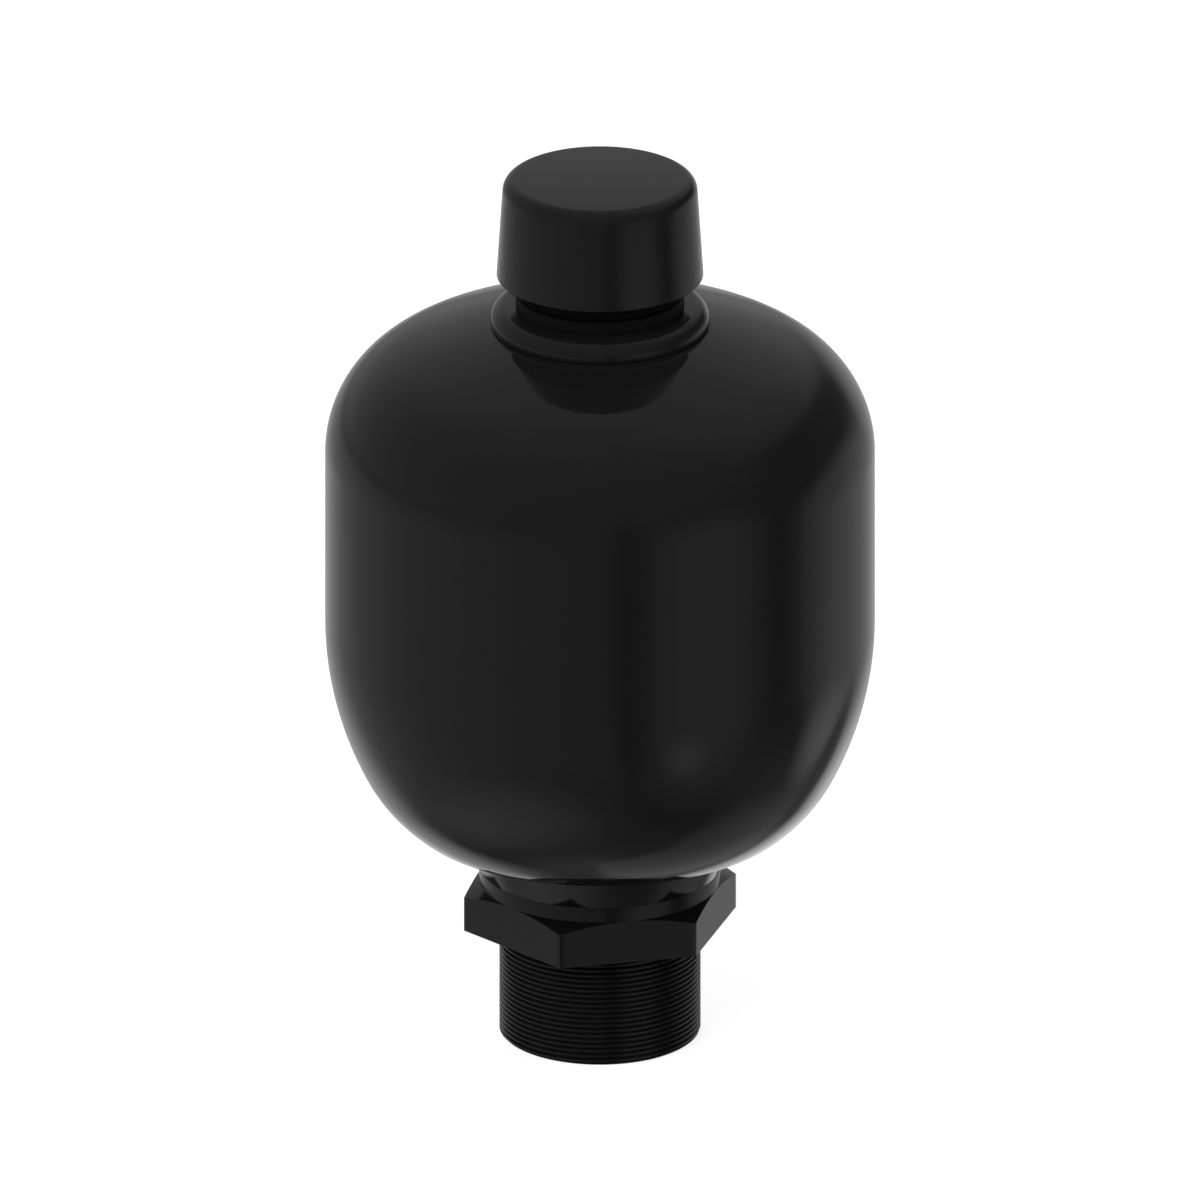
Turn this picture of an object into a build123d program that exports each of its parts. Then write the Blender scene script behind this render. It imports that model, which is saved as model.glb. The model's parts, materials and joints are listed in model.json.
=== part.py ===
from build123d import *
import math
import os

# Bladder accumulator, standing on its fluid port. The axis is Z, z = 0 is the face of the threaded stub, and
# the gas valve is at the top. All sizes are in millimetres.

# Clearances
fit_gap = 0.05
touch_gap = 0.05
rest_gap = 0.3
stem_clearance = 0.3
cap_thread_gap = 0.1

# Fluid port: male thread M56 x 1.5 outside, female thread G 1 1/4 inside
port_radius = 28.0
stub_length = 32.9
stub_chamfer = 0.85
relief_width = 1.5
relief_depth = 1.0
port_thread_radius = 19.5
port_depth = 21.0
port_chamfer = 1.7
passage_radius = 18.0

# Hexagonal lock nut with its turned collar
nut_wall = 5.7
hex_height = 12.3
hex_chamfer_height = 2.5
nut_collar_step = 0.05
nut_collar_height = 4.3

# Spacer ring below the shell and the seal stack in the shell's mouth
spacer_height = 14.2
spacer_flare = 5.4
backup_height = 1.5
o_ring_section = 3.0
washer_height = 2.0

# Shell: cylinder, crown with its knuckle, and a lower end that narrows in a long arc to a knuckle cut off flat
shell_radius = 76.5
shell_straight = 49.9
shell_wall = 6.0
crown_radius = 153.0
knuckle_radius = 33.0
lower_bulge = 19.3
lower_arc_angle = 27.3
lower_knuckle_radius = 44.0
lower_flat_depth = 8.3
mouth_thickness = 10.0
top_thickness = 8.0

# Port flange, valve seat and spider
flange_clearance = 0.4
flange_height = 10.0
seat_rim = 3.6
hub_radius = 10.5
hub_height = 12.0
rib_width = 5.0
rib_count = 4
rib_inset = 1.0
anti_extrusion_land = 7.0
anti_extrusion_chamfer = 2.0
anti_extrusion_height = 6.0

# Poppet, its guide and its spring
poppet_travel = 8.0
head_margin = 1.5
head_cone_height = 6.0
head_rim_height = 2.0
head_dome_height = 2.0
poppet_stem_radius = 5.0
poppet_stem_end = 1.0
poppet_stem_space = 0.5
bush_radius = 7.5
sleeve_radius = 8.0
sleeve_height = 7.7
poppet_nut_flats = 16.0
poppet_nut_height = 7.5
poppet_spring_radius = 8.6
poppet_wire_radius = 1.0
poppet_spring_turns = 5.0

# Bladder
bladder_gap = 1.0
bladder_wall = 3.0
bladder_pad = 4.0
bladder_clearance = 3.1
bladder_droop = 39.0

# Valve stem
stem_radius = 11.0
stem_flange_radius = 20.0
stem_flange_height = 4.0
stem_shoulder = 2.0
stem_nose_radius = 8.0
stem_nose_height = 11.0
stem_nose_chamfer = 1.0
stem_bore_radius = 2.5
core_pocket_radius = 4.0
core_pocket_depth = 20.0

# Support ring and round lock nut of the gas side
support_radius = 30.6
support_height = 5.8
support_fillet = 4.5
support_overhang = 0.8
gas_nut_radius = 22.0
gas_nut_height = 9.9
gas_nut_flange_radius = 23.5
gas_nut_flange_height = 3.6
spanner_hole_radius = 2.5
spanner_hole_depth = 4.0
spanner_hole_circle = 16.0
spanner_hole_count = 4

# Protective cap and its seal
cap_height = 33.95
cap_bottom_radius = 28.8
cap_top_radius = 26.95
cap_bottom_land = 0.4
cap_chamfer_height = 5.45
cap_top_fillet = 3.6
cap_top_thickness = 3.6
cap_cavity_radius = 19.8
cap_seal_height = 1.5

# Seal cap over the gas valve
seal_cap_flats = 19.0
seal_cap_top_thickness = 2.5
seal_cap_space = 1.5
seal_cap_chamfer = 1.0
seal_cap_ring_section = 2.0

# Valve core
core_body_height = 12.0
core_recess = 2.0
core_web = 1.5
core_chamber_radius = 2.3
core_ring_section = 0.9
core_ring_height = 3.0
core_pin_radius = 1.2
core_pin_recess = 1.0
core_collar_radius = 1.9
core_collar_height = 1.0
core_collar_depth = 3.0
core_disc_radius = 2.8
core_disc_height = 1.0
core_seal_height = 1.0
core_wire_radius = 0.2
core_spring_radius = 1.7
core_spring_turns = 5.0

# Heights along the axis that follow from the stack of pieces
nut_top = stub_length + hex_height + nut_collar_height
shell_bottom = nut_top + spacer_height
shell_floor = shell_bottom + mouth_thickness
mouth_radius = port_radius + o_ring_section
washer_bottom = shell_floor - washer_height
o_ring_bottom = washer_bottom - o_ring_section
pilot_top = o_ring_bottom - backup_height
flange_bottom = shell_floor + anti_extrusion_height
flange_top = flange_bottom + flange_height
flange_radius = mouth_radius - flange_clearance
seat_radius = flange_radius - seat_rim
hex_flats = 2 * (port_radius + nut_wall)
nut_collar_radius = hex_flats / 2 - nut_collar_step
spacer_top_radius = nut_collar_radius + spacer_flare
anti_extrusion_radius = mouth_radius + anti_extrusion_land

# Centres of the shell's arcs
lower_radius = shell_radius + lower_bulge
lower_angle = math.radians(lower_arc_angle)
lower_knuckle_x = (lower_radius - lower_knuckle_radius) * math.cos(lower_angle) - lower_bulge
lower_knuckle_z = shell_bottom - lower_flat_depth + lower_knuckle_radius
straight_bottom = lower_knuckle_z + (lower_radius - lower_knuckle_radius) * math.sin(lower_angle)
straight_top = straight_bottom + shell_straight
knuckle_x = shell_radius - knuckle_radius
crown_angle = math.acos(knuckle_x / (crown_radius - knuckle_radius))
crown_z = straight_top - (crown_radius - knuckle_radius) * math.sin(crown_angle)

# Stack of the gas side
support_seat_radius = support_radius - support_overhang
crown_seat = crown_z + math.sqrt(crown_radius**2 - support_seat_radius**2)
shell_ceiling = crown_seat - top_thickness
support_top = crown_seat + support_height
gas_nut_flange_top = support_top + gas_nut_flange_height
gas_nut_top = support_top + gas_nut_height
stem_flange_top = shell_ceiling - bladder_pad
stem_shoulder_top = gas_nut_top + stem_shoulder
stem_top = stem_shoulder_top + stem_nose_height
cap_bottom = gas_nut_flange_top + touch_gap
cap_top = cap_bottom + cap_height
cap_step = gas_nut_top + cap_seal_height
cap_ceiling = cap_top - cap_top_thickness

# Poppet levels at rest, with the valve open
poppet_bottom = port_depth + poppet_travel + poppet_stem_space
poppet_nut_bottom = poppet_bottom + poppet_stem_end
sleeve_bottom = poppet_nut_bottom + poppet_nut_height
hub_bottom = sleeve_bottom + sleeve_height + rest_gap
hub_top = hub_bottom + hub_height
seat_bottom = flange_top - (seat_radius - passage_radius)
head_radius = seat_radius - head_margin
head_underside_radius = head_radius - head_cone_height
head_closed = flange_top - (seat_radius - head_underside_radius) + rest_gap * math.sqrt(2)
head_bottom = head_closed + poppet_travel
head_rim_bottom = head_bottom + head_cone_height
head_rim_top = head_rim_bottom + head_rim_height
head_top = head_rim_top + head_dome_height
bladder_bottom = head_top + bladder_clearance

# Valve core levels
core_top = stem_top - core_recess
core_bottom = core_top - core_body_height
core_chamber_bottom = core_bottom + core_web
core_ring_z = core_chamber_bottom + core_ring_height
core_pin_top = stem_top - core_pin_recess
core_collar_top = core_top - core_collar_depth
core_collar_bottom = core_collar_top - core_collar_height
core_seal_top = core_bottom - touch_gap
core_disc_top = core_seal_top - core_seal_height
core_pin_bottom = core_disc_top - core_disc_height


def vessel_outline(inset):
    """Half outline of the vessel from its crown round to its floor, moved inwards by inset."""
    crown_arc = CenterArc(
        center=(0, crown_z),
        radius=crown_radius - inset,
        start_angle=math.degrees(crown_angle),
        arc_size=90 - math.degrees(crown_angle),
    )
    CenterArc(
        center=(knuckle_x, straight_top),
        radius=knuckle_radius - inset,
        start_angle=0,
        arc_size=math.degrees(crown_angle),
    )
    Line((shell_radius - inset, straight_top), (shell_radius - inset, straight_bottom))
    CenterArc(
        center=(-lower_bulge, straight_bottom),
        radius=lower_radius - inset,
        start_angle=0,
        arc_size=-lower_arc_angle,
    )
    lower_knuckle = CenterArc(
        center=(lower_knuckle_x, lower_knuckle_z),
        radius=lower_knuckle_radius - inset,
        start_angle=-lower_arc_angle,
        arc_size=lower_arc_angle - 90,
    )
    Polyline(lower_knuckle @ 1, (0, lower_knuckle_z - lower_knuckle_radius + inset), crown_arc @ 1)


def bladder_outline(inset, bottom):
    """Half outline of the bladder: it follows the vessel's upper half and hangs down to a rounded bottom."""
    radius = shell_radius - inset
    rise = bladder_bottom + bladder_droop
    crown_arc = CenterArc(
        center=(0, crown_z),
        radius=crown_radius - inset,
        start_angle=math.degrees(crown_angle),
        arc_size=90 - math.degrees(crown_angle),
    )
    CenterArc(
        center=(knuckle_x, straight_top),
        radius=knuckle_radius - inset,
        start_angle=0,
        arc_size=math.degrees(crown_angle),
    )
    Line((radius, straight_top), (radius, rise))
    EllipticalCenterArc(
        center=(0, rise),
        x_radius=radius,
        y_radius=rise - bottom,
        start_angle=270,
        arc_size=90,
    )
    Line((0, bottom), crown_arc @ 1)


def coil_spring(bottom, top, coil_radius, wire_radius, turns):
    """Round wire wound into a coil between two levels, with both ends ground flat."""
    height = top - bottom
    pitch = height / turns
    wire_path = Helix(pitch=pitch, height=height, radius=coil_radius, center=(0, 0, bottom))
    with BuildPart() as coil:
        with BuildSketch(Plane(wire_path @ 0, z_dir=wire_path % 0)):
            Circle(wire_radius)
        sweep(path=wire_path, is_frenet=True)
        split(bisect_by=Plane.XY.offset(bottom), keep=Keep.TOP)
        split(bisect_by=Plane.XY.offset(top), keep=Keep.BOTTOM)
    return coil.part


os.makedirs("parts", exist_ok=True)

# Shell: the outer form, flat on top under the support ring, less its cavity and its two mouths
with BuildPart() as cavity:
    with BuildSketch(Plane.XZ):
        with BuildLine():
            vessel_outline(shell_wall)
        make_face()
    revolve(axis=Axis.Z)
    split(bisect_by=Plane.XY.offset(shell_floor), keep=Keep.TOP)
    split(bisect_by=Plane.XY.offset(shell_ceiling), keep=Keep.BOTTOM)

with BuildPart() as shell:
    with BuildSketch(Plane.XZ):
        with BuildLine():
            vessel_outline(0)
        make_face()
    revolve(axis=Axis.Z)
    split(bisect_by=Plane.XY.offset(shell_bottom), keep=Keep.TOP)
    split(bisect_by=Plane.XY.offset(crown_seat), keep=Keep.BOTTOM)
    add(cavity.part, mode=Mode.SUBTRACT)
    with BuildSketch(Plane.XY.offset(shell_bottom)):
        Circle(mouth_radius)
    extrude(amount=mouth_thickness, mode=Mode.SUBTRACT)
    with BuildSketch(Plane.XY.offset(shell_ceiling)):
        Circle(stem_radius + stem_clearance)
    extrude(amount=top_thickness, mode=Mode.SUBTRACT)
shell.part.label = "shell"
export_step(shell.part, "parts/shell.step")

# Hexagonal lock nut: chamfered on its upper side, where the collar stands
with BuildPart() as lock_nut:
    with BuildSketch(Plane.XY.offset(stub_length)):
        RegularPolygon(radius=hex_flats / 2, side_count=6, major_radius=False)
    extrude(amount=hex_height)
    with BuildSketch(Plane.XZ):
        hex_corner = hex_flats / math.sqrt(3)
        hex_top = stub_length + hex_height
        with BuildLine():
            Polyline(
                (hex_flats / 2, hex_top),
                (hex_corner, hex_top - hex_chamfer_height),
                (hex_corner, hex_top),
                close=True,
            )
        make_face()
    revolve(axis=Axis.Z, mode=Mode.SUBTRACT)
    with BuildSketch(Plane.XY.offset(stub_length + hex_height)):
        Circle(nut_collar_radius)
    extrude(amount=nut_collar_height)
    with BuildSketch(Plane.XY.offset(stub_length)):
        Circle(port_radius + fit_gap)
    extrude(amount=hex_height + nut_collar_height, mode=Mode.SUBTRACT)
lock_nut.part.label = "lock_nut"
export_step(lock_nut.part, "parts/lock_nut.step")

# Spacer ring: it flares from the nut's collar up to the shell, and its pilot centres it in the shell's mouth
with BuildPart() as spacer_ring:
    with BuildSketch(Plane.XZ):
        with BuildLine():
            Polyline(
                (port_radius + fit_gap, nut_top),
                (nut_collar_radius, nut_top),
                (spacer_top_radius, shell_bottom),
                (mouth_radius - fit_gap, shell_bottom),
                (mouth_radius - fit_gap, pilot_top),
                (port_radius + fit_gap, pilot_top),
                close=True,
            )
        make_face()
    revolve(axis=Axis.Z)
spacer_ring.part.label = "spacer_ring"
export_step(spacer_ring.part, "parts/spacer_ring.step")

# Seal stack between the port body and the shell's mouth
with BuildPart() as backup_ring:
    with BuildSketch(Plane.XY.offset(pilot_top)):
        Circle(mouth_radius - fit_gap)
        Circle(port_radius + fit_gap, mode=Mode.SUBTRACT)
    extrude(amount=backup_height)
backup_ring.part.label = "backup_ring"
export_step(backup_ring.part, "parts/backup_ring.step")

with BuildPart() as port_o_ring:
    with BuildSketch(Plane.XZ):
        with Locations((port_radius + o_ring_section / 2, o_ring_bottom + o_ring_section / 2)):
            Circle(o_ring_section / 2 - fit_gap)
    revolve(axis=Axis.Z)
port_o_ring.part.label = "port_o_ring"
export_step(port_o_ring.part, "parts/port_o_ring.step")

with BuildPart() as port_washer:
    with BuildSketch(Plane.XY.offset(washer_bottom)):
        Circle(mouth_radius - fit_gap)
        Circle(port_radius + fit_gap, mode=Mode.SUBTRACT)
    extrude(amount=washer_height)
port_washer.part.label = "port_washer"
export_step(port_washer.part, "parts/port_washer.step")

# Ring that spreads the port flange's load on the shell's floor
with BuildPart() as anti_extrusion_ring:
    with BuildSketch(Plane.XY.offset(shell_floor)):
        Circle(anti_extrusion_radius)
        Circle(port_radius + fit_gap, mode=Mode.SUBTRACT)
    extrude(amount=anti_extrusion_height)
    ring_rim = anti_extrusion_ring.edges().group_by(Axis.Z)[-1].sort_by(SortBy.RADIUS)[-1]
    chamfer(ring_rim, length=anti_extrusion_chamfer)
anti_extrusion_ring.part.label = "anti_extrusion_ring"
export_step(anti_extrusion_ring.part, "parts/anti_extrusion_ring.step")

# Port body: threaded stub, shank through the shell's mouth, flange with the conical seat, and ribbed spider
with BuildPart() as fluid_port_body:
    with BuildSketch(Plane.XZ):
        with BuildLine():
            Polyline(
                (port_thread_radius + port_chamfer, 0),
                (port_radius - stub_chamfer, 0),
                (port_radius, stub_chamfer),
                (port_radius, stub_length),
                (port_radius - relief_depth, stub_length),
                (port_radius - relief_depth, stub_length + relief_width),
                (port_radius, stub_length + relief_width),
                (port_radius, flange_bottom),
                (flange_radius, flange_bottom),
                (flange_radius, flange_top),
                (seat_radius, flange_top),
                (passage_radius, seat_bottom),
                (passage_radius, port_depth),
                (port_thread_radius, port_depth),
                (port_thread_radius, port_chamfer),
                close=True,
            )
        make_face()
    revolve(axis=Axis.Z)
    with BuildSketch(Plane.XY.offset(hub_bottom)):
        Circle(hub_radius)
    extrude(amount=hub_height)
    with BuildSketch(Plane.XY.offset(hub_bottom + rib_inset)):
        with PolarLocations(radius=0, count=rib_count, start_angle=180 / rib_count):
            with Locations((passage_radius / 2, 0)):
                Rectangle(passage_radius + rib_inset, rib_width)
    extrude(amount=hub_height - 2 * rib_inset)
    with BuildSketch(Plane.XY.offset(hub_bottom)):
        Circle(bush_radius + fit_gap)
    extrude(amount=hub_height, mode=Mode.SUBTRACT)
fluid_port_body.part.label = "fluid_port_body"
export_step(fluid_port_body.part, "parts/fluid_port_body.step")

# Plain bush that guides the poppet's stem in the hub
with BuildPart() as guide_bush:
    with BuildSketch(Plane.XY.offset(hub_bottom)):
        Circle(bush_radius)
        Circle(poppet_stem_radius + fit_gap, mode=Mode.SUBTRACT)
    extrude(amount=hub_height)
guide_bush.part.label = "guide_bush"
export_step(guide_bush.part, "parts/guide_bush.step")

# Poppet: conical head, low dome and long stem
dome_radius = (head_radius**2 + head_dome_height**2) / (2 * head_dome_height)
dome_angle = math.degrees(math.acos(head_radius / dome_radius))
with BuildPart() as poppet:
    with BuildSketch(Plane.XZ):
        with BuildLine():
            Polyline(
                (0, head_top),
                (0, poppet_bottom),
                (poppet_stem_radius, poppet_bottom),
                (poppet_stem_radius, head_bottom),
                (head_underside_radius, head_bottom),
                (head_radius, head_rim_bottom),
                (head_radius, head_rim_top),
            )
            CenterArc(
                center=(0, head_top - dome_radius),
                radius=dome_radius,
                start_angle=dome_angle,
                arc_size=90 - dome_angle,
            )
        make_face()
    revolve(axis=Axis.Z)
poppet.part.label = "poppet"
export_step(poppet.part, "parts/poppet.step")

with BuildPart() as damping_sleeve:
    with BuildSketch(Plane.XY.offset(sleeve_bottom)):
        Circle(sleeve_radius)
        Circle(poppet_stem_radius + fit_gap, mode=Mode.SUBTRACT)
    extrude(amount=sleeve_height)
damping_sleeve.part.label = "damping_sleeve"
export_step(damping_sleeve.part, "parts/damping_sleeve.step")

with BuildPart() as poppet_nut:
    with BuildSketch(Plane.XY.offset(poppet_nut_bottom)):
        RegularPolygon(radius=poppet_nut_flats / 2, side_count=6, major_radius=False)
        Circle(poppet_stem_radius + fit_gap, mode=Mode.SUBTRACT)
    extrude(amount=poppet_nut_height)
poppet_nut.part.label = "poppet_nut"
export_step(poppet_nut.part, "parts/poppet_nut.step")

with BuildPart() as poppet_spring:
    add(
        coil_spring(
            hub_top,
            head_bottom - touch_gap,
            poppet_spring_radius,
            poppet_wire_radius,
            poppet_spring_turns,
        )
    )
poppet_spring.part.label = "poppet_spring"
export_step(poppet_spring.part, "parts/poppet_spring.step")

# Bladder: it hangs in the shell, with a pad clamped between the shell's ceiling and the stem's flange
with BuildPart() as gas_space:
    with BuildSketch(Plane.XZ):
        with BuildLine():
            bladder_outline(shell_wall + bladder_gap + bladder_wall, bladder_bottom + bladder_wall)
        make_face()
    revolve(axis=Axis.Z)
    split(bisect_by=Plane.XY.offset(stem_flange_top), keep=Keep.BOTTOM)

with BuildPart() as bladder:
    with BuildSketch(Plane.XZ):
        with BuildLine():
            bladder_outline(shell_wall + bladder_gap, bladder_bottom)
        make_face()
    revolve(axis=Axis.Z)
    split(bisect_by=Plane.XY.offset(shell_ceiling), keep=Keep.BOTTOM)
    add(gas_space.part, mode=Mode.SUBTRACT)
    with BuildSketch(Plane.XY.offset(stem_flange_top)):
        Circle(stem_radius + fit_gap)
    extrude(amount=bladder_pad, mode=Mode.SUBTRACT)
bladder.part.label = "bladder"
export_step(bladder.part, "parts/bladder.step")

# Valve stem: flange inside the bladder, shank through the shell, and a nose that holds the valve core
with BuildPart() as valve_stem:
    with BuildSketch(Plane.XZ):
        with BuildLine():
            Polyline(
                (stem_bore_radius, stem_flange_top - stem_flange_height),
                (stem_flange_radius, stem_flange_top - stem_flange_height),
                (stem_flange_radius, stem_flange_top),
                (stem_radius, stem_flange_top),
                (stem_radius, stem_shoulder_top),
                (stem_nose_radius, stem_shoulder_top),
                (stem_nose_radius, stem_top),
                (core_pocket_radius, stem_top),
                (core_pocket_radius, stem_top - core_pocket_depth),
                (stem_bore_radius, stem_top - core_pocket_depth),
                close=True,
            )
        make_face()
    revolve(axis=Axis.Z)
    nose_rim = valve_stem.edges().group_by(Axis.Z)[-1].sort_by(SortBy.RADIUS)[-1]
    chamfer(nose_rim, length=stem_nose_chamfer)
valve_stem.part.label = "valve_stem"
export_step(valve_stem.part, "parts/valve_stem.step")

# Support ring: rounded ring on the crown's flat
with BuildPart() as support_ring:
    with BuildSketch(Plane.XY.offset(crown_seat)):
        Circle(support_radius)
        Circle(stem_radius + stem_clearance, mode=Mode.SUBTRACT)
    extrude(amount=support_height)
    support_rim = support_ring.edges().group_by(Axis.Z)[-1].sort_by(SortBy.RADIUS)[-1]
    fillet(support_rim, radius=support_fillet)
support_ring.part.label = "support_ring"
export_step(support_ring.part, "parts/support_ring.step")

# Round lock nut of the gas side: a flange below the cap, and its threaded part with pin spanner holes on top
with BuildPart() as gas_lock_nut:
    with BuildSketch(Plane.XZ):
        with BuildLine():
            Polyline(
                (stem_radius + fit_gap, support_top),
                (gas_nut_flange_radius, support_top),
                (gas_nut_flange_radius, gas_nut_flange_top),
                (gas_nut_radius, gas_nut_flange_top),
                (gas_nut_radius, gas_nut_top),
                (stem_radius + fit_gap, gas_nut_top),
                close=True,
            )
        make_face()
    revolve(axis=Axis.Z)
    with BuildSketch(Plane.XY.offset(gas_nut_top)):
        with PolarLocations(radius=spanner_hole_circle, count=spanner_hole_count):
            Circle(spanner_hole_radius)
    extrude(amount=-spanner_hole_depth, mode=Mode.SUBTRACT)
gas_lock_nut.part.label = "gas_lock_nut"
export_step(gas_lock_nut.part, "parts/gas_lock_nut.step")

# Protective cap: slightly tapered, chamfered below down to its bore, and screwed over the round nut
cap_bore = gas_nut_radius + cap_thread_gap
with BuildPart() as protective_cap:
    with BuildSketch(Plane.XZ):
        with BuildLine():
            Polyline(
                (cap_bore, cap_bottom),
                (cap_bore + cap_bottom_land, cap_bottom),
                (cap_bottom_radius, cap_bottom + cap_chamfer_height),
                (cap_top_radius, cap_top),
                (0, cap_top),
                (0, cap_ceiling),
                (cap_cavity_radius, cap_ceiling),
                (cap_cavity_radius, cap_step),
                (cap_bore, cap_step),
                close=True,
            )
        make_face()
    revolve(axis=Axis.Z)
    cap_shoulder = protective_cap.edges().group_by(Axis.Z)[-1].sort_by(SortBy.RADIUS)[-1]
    fillet(cap_shoulder, radius=cap_top_fillet)
protective_cap.part.label = "protective_cap"
export_step(protective_cap.part, "parts/protective_cap.step")

with BuildPart() as cap_seal_ring:
    with BuildSketch(Plane.XY.offset(gas_nut_top + touch_gap)):
        Circle(gas_nut_radius - touch_gap)
        Circle(cap_cavity_radius, mode=Mode.SUBTRACT)
    extrude(amount=cap_seal_height - 2 * touch_gap)
cap_seal_ring.part.label = "cap_seal_ring"
export_step(cap_seal_ring.part, "parts/cap_seal_ring.step")

# Seal cap: small hexagonal cap nut on the stem's nose, and the ring it presses on the stem's shoulder
seal_cap_bottom = stem_shoulder_top + seal_cap_ring_section
seal_cap_ceiling = stem_top + seal_cap_space
seal_cap_top = seal_cap_ceiling + seal_cap_top_thickness
with BuildPart() as seal_cap:
    with BuildSketch(Plane.XY.offset(seal_cap_bottom)):
        RegularPolygon(radius=seal_cap_flats / 2, side_count=6, major_radius=False)
    extrude(amount=seal_cap_top - seal_cap_bottom)
    chamfer(seal_cap.faces().sort_by(Axis.Z)[-1].edges(), length=seal_cap_chamfer)
    with BuildSketch(Plane.XY.offset(seal_cap_bottom)):
        Circle(stem_nose_radius + fit_gap)
    extrude(amount=seal_cap_ceiling - seal_cap_bottom, mode=Mode.SUBTRACT)
seal_cap.part.label = "seal_cap"
export_step(seal_cap.part, "parts/seal_cap.step")

with BuildPart() as seal_cap_o_ring:
    with BuildSketch(Plane.XZ):
        with Locations(
            (stem_nose_radius + seal_cap_ring_section / 2, stem_shoulder_top + seal_cap_ring_section / 2)
        ):
            Circle(seal_cap_ring_section / 2 - fit_gap)
    revolve(axis=Axis.Z)
seal_cap_o_ring.part.label = "seal_cap_o_ring"
export_step(seal_cap_o_ring.part, "parts/seal_cap_o_ring.step")

# Valve core: body with a groove for its ring, spring chamber and guide web
core_radius = core_pocket_radius - fit_gap
with BuildPart() as valve_core_body:
    with BuildSketch(Plane.XZ):
        with BuildLine():
            Polyline(
                (core_pin_radius + fit_gap, core_bottom),
                (core_radius, core_bottom),
                (core_radius, core_ring_z - core_ring_section / 2),
                (core_radius - core_ring_section, core_ring_z - core_ring_section / 2),
                (core_radius - core_ring_section, core_ring_z + core_ring_section / 2),
                (core_radius, core_ring_z + core_ring_section / 2),
                (core_radius, core_top),
                (core_chamber_radius, core_top),
                (core_chamber_radius, core_chamber_bottom),
                (core_pin_radius + fit_gap, core_chamber_bottom),
                close=True,
            )
        make_face()
    revolve(axis=Axis.Z)
valve_core_body.part.label = "valve_core_body"
export_step(valve_core_body.part, "parts/valve_core_body.step")

with BuildPart() as valve_core_o_ring:
    with BuildSketch(Plane.XZ):
        with Locations((core_radius - core_ring_section / 2, core_ring_z)):
            Circle(core_ring_section / 2 - fit_gap / 2)
    revolve(axis=Axis.Z)
valve_core_o_ring.part.label = "valve_core_o_ring"
export_step(valve_core_o_ring.part, "parts/valve_core_o_ring.step")

# Pin of the valve core, with its spring collar and the disc that pulls the seal up
with BuildPart() as valve_core_pin:
    with BuildSketch(Plane.XZ):
        with BuildLine():
            Polyline(
                (0, core_pin_bottom),
                (core_disc_radius, core_pin_bottom),
                (core_disc_radius, core_disc_top),
                (core_pin_radius, core_disc_top),
                (core_pin_radius, core_collar_bottom),
                (core_collar_radius, core_collar_bottom),
                (core_collar_radius, core_collar_top),
                (core_pin_radius, core_collar_top),
                (core_pin_radius, core_pin_top),
                (0, core_pin_top),
                close=True,
            )
        make_face()
    revolve(axis=Axis.Z)
valve_core_pin.part.label = "valve_core_pin"
export_step(valve_core_pin.part, "parts/valve_core_pin.step")

with BuildPart() as valve_core_seal:
    with BuildSketch(Plane.XY.offset(core_disc_top)):
        Circle(core_disc_radius)
        Circle(core_pin_radius + fit_gap / 2, mode=Mode.SUBTRACT)
    extrude(amount=core_seal_height)
valve_core_seal.part.label = "valve_core_seal"
export_step(valve_core_seal.part, "parts/valve_core_seal.step")

with BuildPart() as valve_core_spring:
    add(
        coil_spring(
            core_chamber_bottom,
            core_collar_bottom - touch_gap,
            core_spring_radius,
            core_wire_radius,
            core_spring_turns,
        )
    )
valve_core_spring.part.label = "valve_core_spring"
export_step(valve_core_spring.part, "parts/valve_core_spring.step")
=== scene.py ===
import json
import math

import bmesh
import bpy
from mathutils import Matrix, Vector


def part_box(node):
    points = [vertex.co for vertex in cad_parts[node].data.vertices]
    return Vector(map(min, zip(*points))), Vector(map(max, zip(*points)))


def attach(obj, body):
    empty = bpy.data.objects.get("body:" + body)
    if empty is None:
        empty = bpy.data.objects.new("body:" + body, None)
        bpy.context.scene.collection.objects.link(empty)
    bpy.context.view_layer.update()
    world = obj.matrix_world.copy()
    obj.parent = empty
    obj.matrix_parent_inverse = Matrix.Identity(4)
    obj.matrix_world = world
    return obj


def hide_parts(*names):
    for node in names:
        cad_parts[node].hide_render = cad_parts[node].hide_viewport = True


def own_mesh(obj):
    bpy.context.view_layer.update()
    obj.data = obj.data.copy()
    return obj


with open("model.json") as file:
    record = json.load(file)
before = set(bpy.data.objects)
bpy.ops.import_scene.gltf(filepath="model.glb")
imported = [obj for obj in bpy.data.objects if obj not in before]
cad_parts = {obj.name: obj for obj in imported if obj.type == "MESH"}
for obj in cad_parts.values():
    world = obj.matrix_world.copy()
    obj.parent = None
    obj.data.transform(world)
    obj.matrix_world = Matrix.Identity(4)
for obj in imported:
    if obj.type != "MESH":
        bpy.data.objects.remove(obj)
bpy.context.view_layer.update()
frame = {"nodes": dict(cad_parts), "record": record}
scene = bpy.context.scene

# A small bladder accumulator, standing on its fluid port. All lengths are in metres, and Z is its axis.
mm = 0.001

# Fineness of the meshes
faces_around = 180
rounding_steps = 8
arc_steps = 24
coil_faces = 48
wire_faces = 16
merge_distance = 0.001 * mm
sharp_angle = math.radians(30)

# Shell: crown, knuckles, the long arc below the straight part, and the flat that cuts the lower knuckle
shell_wall = 6.0 * mm
shell_straight = 49.9 * mm
crown_radius = 153.0 * mm
knuckle_radius = 33.0 * mm
lower_bulge = 19.3 * mm
lower_arc_angle = 27.3
lower_knuckle_radius = 44.0 * mm
lower_flat_depth = 8.3 * mm
mouth_thickness = 10.0 * mm
mouth_radius = 31.0 * mm
mouth_chamfer = 0.8 * mm
top_thickness = 8.0 * mm
top_hole_radius = 11.3 * mm

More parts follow.
